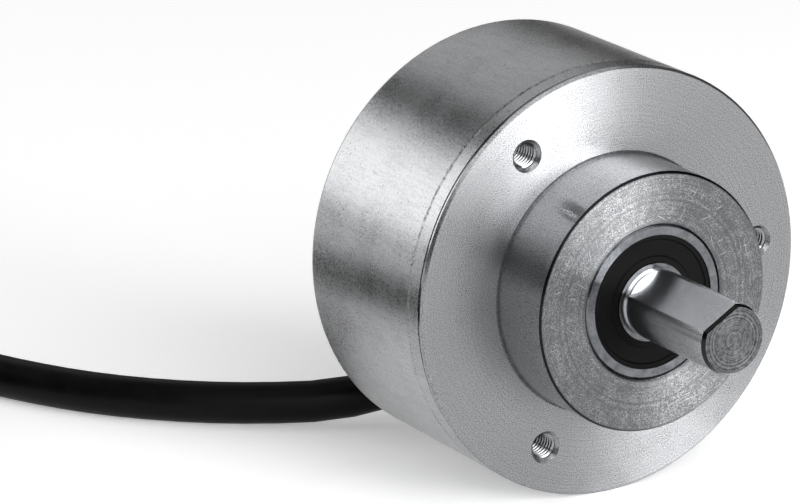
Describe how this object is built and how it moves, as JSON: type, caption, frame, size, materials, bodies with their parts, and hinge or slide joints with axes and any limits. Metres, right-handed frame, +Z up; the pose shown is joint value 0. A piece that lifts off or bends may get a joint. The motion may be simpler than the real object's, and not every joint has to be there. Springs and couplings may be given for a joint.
{
  "type": "incremental rotary encoder",
  "caption": "Round metal-housed shaft encoder lying on its side, with a centring collar, threaded mounting holes, a D-cut shaft and a cable with a round plug.",
  "frame": {"origin": "centre of the flange's mounting face, on the shaft axis", "axes": "-Y along the shaft, out of the housing towards the machine; +Z up, with the encoder lying on its side on a table at z = -0.025; +X to the right when looking at the shaft's end"},
  "size_m": [0.1451, 0.134, 0.05],
  "materials": {
    "flange_aluminium": "fine-turned, concentric lines",
    "cover_metal": "drawn and tumbled, satin",
    "shaft_steel": "ground",
    "bearing_steel": "ground and polished",
    "ball_steel": "polished",
    "seal_rubber": "moulded, satin",
    "cage_plastic": "moulded",
    "spring_steel": "blued",
    "screw_steel": "plain",
    "hub_brass": "turned",
    "disc_steel": "etched",
    "optic_plastic": "moulded",
    "led_lens": "clear",
    "mask_glass": "polished",
    "lead_tin": "tinned",
    "board_laminate": "solder mask",
    "chip_epoxy": "moulded",
    "header_plastic": "moulded",
    "wire_plastic": "extruded",
    "outlet_plastic": "moulded, fine grain",
    "boot_rubber": "moulded",
    "cable_jacket": "extruded, satin",
    "plug_plastic": "moulded",
    "plug_nickel": "nickel-plated brass",
    "pin_gold": "gold-plated",
    "ring_rubber": "moulded"
  },
  "bodies": {
    "root": {"flange": "flange_aluminium", "cover": "cover_metal", "cover_o_ring": "ring_rubber", "front_bearing_outer_ring": "bearing_steel", "front_bearing_seals": "seal_rubber", "rear_bearing_outer_ring": "bearing_steel", "rear_bearing_seals": "seal_rubber", "preload_spring": "spring_steel", "bearing_retaining_ring": "spring_steel", "led_holder": "optic_plastic", "led_emitter": "led_lens", "led_leads": "lead_tin", "scanning_mask": "mask_glass", "sensor_chip": "chip_epoxy", "board_pillars": "screw_steel", "circuit_board": "board_laminate", "board_screws": "screw_steel", "board_chips": "chip_epoxy", "wire_header": "header_plastic", "inner_wires": "wire_plastic", "outlet_gasket": "ring_rubber", "cable_outlet": "outlet_plastic", "outlet_screws": "screw_steel", "cable_boot": "boot_rubber", "cable_jacket_end": "cable_jacket", "cable_lead": "cable_jacket", "cable_coil": "cable_jacket", "cable_tail": "cable_jacket", "plug_body": "plug_plastic", "plug_insert": "plug_plastic", "plug_pins": "pin_gold"},
    "shaft": {"shaft": "shaft_steel", "front_bearing_inner_ring": "bearing_steel", "rear_bearing_inner_ring": "bearing_steel", "disc_hub": "hub_brass", "code_disc": "disc_steel", "disc_clamp_ring": "hub_brass", "hub_screw": "screw_steel"},
    "front_cage": {"front_bearing_cage": "cage_plastic", "front_bearing_balls": "ball_steel"},
    "rear_cage": {"rear_bearing_cage": "cage_plastic", "rear_bearing_balls": "ball_steel"},
    "coupling_screw": {"plug_coupling_screw": "plug_nickel", "plug_seal_ring": "ring_rubber"}
  },
  "joints": [
    {"name": "shaft_spin", "type": "hinge", "parent": "root", "child": "shaft", "pos_m": [0, 0, 0], "axis": [0, 1, 0], "continuous": true},
    {"name": "front_cage_spin", "type": "hinge", "parent": "root", "child": "front_cage", "pos_m": [0, -0.0054, 0], "axis": [0, 1, 0], "continuous": true},
    {"name": "rear_cage_spin", "type": "hinge", "parent": "root", "child": "rear_cage", "pos_m": [0, 0.005, 0], "axis": [0, 1, 0], "continuous": true},
    {"name": "coupling_screw_spin", "type": "hinge", "parent": "root", "child": "coupling_screw", "pos_m": [-0.10836, 0.0427, -0.0175], "axis": [0.2588, -0.9659, 0], "continuous": true}
  ],
  "couplings": [
    {"joint": "front_cage_spin", "follows": "shaft_spin", "ratio": 0.38889},
    {"joint": "rear_cage_spin", "follows": "shaft_spin", "ratio": 0.38889}
  ]
}
